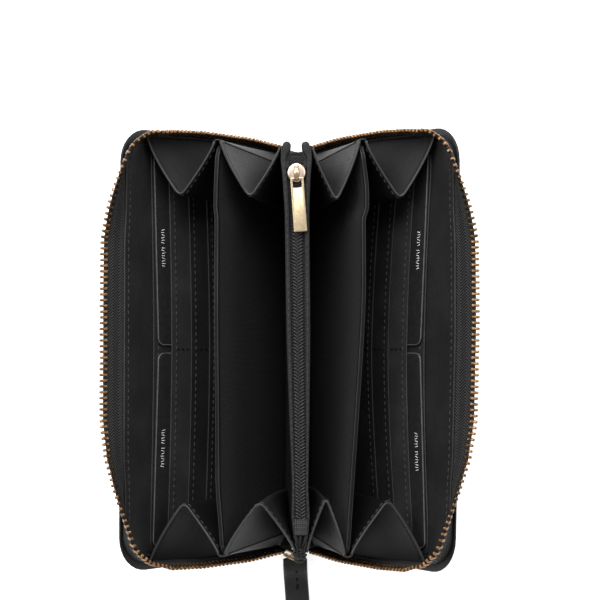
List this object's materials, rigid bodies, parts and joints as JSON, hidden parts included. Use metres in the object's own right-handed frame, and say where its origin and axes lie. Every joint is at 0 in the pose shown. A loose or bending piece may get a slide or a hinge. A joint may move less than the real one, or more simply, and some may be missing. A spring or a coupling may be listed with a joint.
{
  "type": "zip-around wallet",
  "caption": "Long leather zip-around wallet lying open on its spine, with card slots, folding gussets, dividers and a zipped coin pocket.",
  "frame": {"origin": "centre of the spine's outer face, which the wallet stands on", "axes": "+Z from the spine to the zip opening, +Y along the spine towards the closed end of the coin zip, +X to the right"},
  "size_m": [0.1638, 0.2623, 0.0938],
  "materials": {
    "cover_leather": "smooth grained, semi-matt",
    "inner_leather": "smooth, semi-matt",
    "edge_leather": "bound and painted edges",
    "stiffener_board": "matt",
    "lining_fabric": "woven",
    "zip_tape": "herringbone woven",
    "zip_teeth": "antique brass",
    "coil_plastic": "moulded nylon",
    "gold_hardware": "polished pale gold",
    "card_plastic": "printed card"
  },
  "bodies": {
    "root": {"spine_leather": "cover_leather", "spine_board": "stiffener_board", "spine_lining": "lining_fabric", "coin_pocket_floor": "lining_fabric", "coin_pocket_panel_left": "inner_leather", "coin_pocket_panel_right": "inner_leather", "coin_pocket_binding_left": "edge_leather", "coin_pocket_binding_right": "edge_leather", "coin_zip_tape_left": "zip_tape", "coin_zip_tape_right": "zip_tape", "coin_zip_coil_left": "coil_plastic", "coin_zip_coil_right": "coil_plastic", "coin_zip_stop": "coil_plastic", "main_zip_slider": "gold_hardware"},
    "coin_zip_slider": {"coin_zip_slider": "gold_hardware"},
    "coin_zip_pull": {"coin_zip_pull": "gold_hardware"},
    "main_pull": {"main_pull_ring": "gold_hardware", "main_pull_strap": "cover_leather"},
    "left_cover": {"left_cover_leather": "cover_leather", "left_cover_board": "stiffener_board", "left_cover_lining": "lining_fabric", "left_slot_backing": "lining_fabric", "left_slot_upper": "inner_leather", "left_slot_middle": "inner_leather", "left_slot_lower": "inner_leather", "left_outer_gusset_upper": "inner_leather", "left_outer_gusset_lower": "inner_leather", "left_zip_tape_upper": "zip_tape", "left_zip_tape_lower": "zip_tape", "left_zip_teeth_returns": "zip_teeth"},
    "left_divider": {"left_divider_board": "stiffener_board", "left_divider_leather": "edge_leather", "left_divider_lining": "lining_fabric", "left_inner_gusset_upper": "inner_leather", "left_inner_gusset_lower": "inner_leather"},
    "left_zip_flap": {"left_zip_tape_middle": "zip_tape", "left_zip_teeth_middle": "zip_teeth"},
    "left_card_upper": {"left_card_upper": "card_plastic"},
    "left_card_lower": {"left_card_lower": "card_plastic"},
    "right_cover": {"right_cover_leather": "cover_leather", "right_cover_board": "stiffener_board", "right_cover_lining": "lining_fabric", "right_slot_backing": "lining_fabric", "right_slot_upper": "inner_leather", "right_slot_middle": "inner_leather", "right_slot_lower": "inner_leather", "right_outer_gusset_upper": "inner_leather", "right_outer_gusset_lower": "inner_leather", "right_zip_tape_upper": "zip_tape", "right_zip_tape_lower": "zip_tape", "right_zip_teeth_returns": "zip_teeth"},
    "right_divider": {"right_divider_board": "stiffener_board", "right_divider_leather": "edge_leather", "right_divider_lining": "lining_fabric", "right_inner_gusset_upper": "inner_leather", "right_inner_gusset_lower": "inner_leather"},
    "right_zip_flap": {"right_zip_tape_middle": "zip_tape", "right_zip_teeth_middle": "zip_teeth"},
    "right_card_upper": {"right_card_upper": "card_plastic"},
    "right_card_lower": {"right_card_lower": "card_plastic"}
  },
  "joints": [
    {"name": "coin_slider_run", "type": "slide", "parent": "root", "child": "coin_zip_slider", "axis": [0, -1, 0], "range_m": [0, 0.148]},
    {"name": "coin_pull_swing", "type": "hinge", "parent": "coin_zip_slider", "child": "coin_zip_pull", "pos_m": [0, 0.076, 0.08645], "axis": [-1, 0, 0], "range_deg": [0, 180]},
    {"name": "main_pull_swing", "type": "hinge", "parent": "root", "child": "main_pull", "pos_m": [-0.0015, -0.1006, 0.008], "axis": [-1, 0, 0], "range_deg": [0, 90]},
    {"name": "left_cover_fold", "type": "hinge", "parent": "root", "child": "left_cover", "pos_m": [-0.0105, 0, 0.003], "axis": [0, 1, 0], "range_deg": [0, 41], "deforming": ["left_outer_gusset_upper", "left_outer_gusset_lower"]},
    {"name": "left_divider_fold", "type": "hinge", "parent": "root", "child": "left_divider", "pos_m": [-0.0105, 0, 0.003], "axis": [0, 1, 0], "range_deg": [0, 21], "deforming": ["left_inner_gusset_upper", "left_inner_gusset_lower"]},
    {"name": "left_zip_fold", "type": "hinge", "parent": "left_cover", "child": "left_zip_flap", "pos_m": [-0.07524, 0, 0.07671], "axis": [0, 1, 0], "range_deg": [0, 89.6], "deforming": ["left_zip_tape_upper", "left_zip_tape_lower", "left_zip_teeth_returns"]},
    {"name": "left_card_upper_slide", "type": "slide", "parent": "left_cover", "child": "left_card_upper", "axis": [-0.6561, 0, 0.7547], "range_m": [0, 0.0115]},
    {"name": "left_card_lower_slide", "type": "slide", "parent": "left_cover", "child": "left_card_lower", "axis": [-0.6561, 0, 0.7547], "range_m": [0, 0.0115]},
    {"name": "right_cover_fold", "type": "hinge", "parent": "root", "child": "right_cover", "pos_m": [0.0105, 0, 0.003], "axis": [0, -1, 0], "range_deg": [0, 35.5], "deforming": ["right_outer_gusset_upper", "right_outer_gusset_lower"]},
    {"name": "right_divider_fold", "type": "hinge", "parent": "root", "child": "right_divider", "pos_m": [0.0105, 0, 0.003], "axis": [0, -1, 0], "range_deg": [0, 16], "deforming": ["right_inner_gusset_upper", "right_inner_gusset_lower"]},
    {"name": "right_zip_fold", "type": "hinge", "parent": "right_cover", "child": "right_zip_flap", "pos_m": [0.06787, 0, 0.08257], "axis": [0, -1, 0], "range_deg": [0, 89.6], "deforming": ["right_zip_tape_upper", "right_zip_tape_lower", "right_zip_teeth_returns"]},
    {"name": "right_card_upper_slide", "type": "slide", "parent": "right_cover", "child": "right_card_upper", "axis": [0.5807, 0, 0.8141], "range_m": [0, 0.0115]},
    {"name": "right_card_lower_slide", "type": "slide", "parent": "right_cover", "child": "right_card_lower", "axis": [0.5807, 0, 0.8141], "range_m": [0, 0.0115]}
  ],
  "couplings": [
    {"joint": "left_divider_fold", "follows": "left_cover_fold", "ratio": 0.51219},
    {"joint": "left_zip_fold", "follows": "left_cover_fold", "ratio": 2.1853},
    {"joint": "right_divider_fold", "follows": "right_cover_fold", "ratio": 0.45069},
    {"joint": "right_zip_fold", "follows": "right_cover_fold", "ratio": 2.5239}
  ]
}
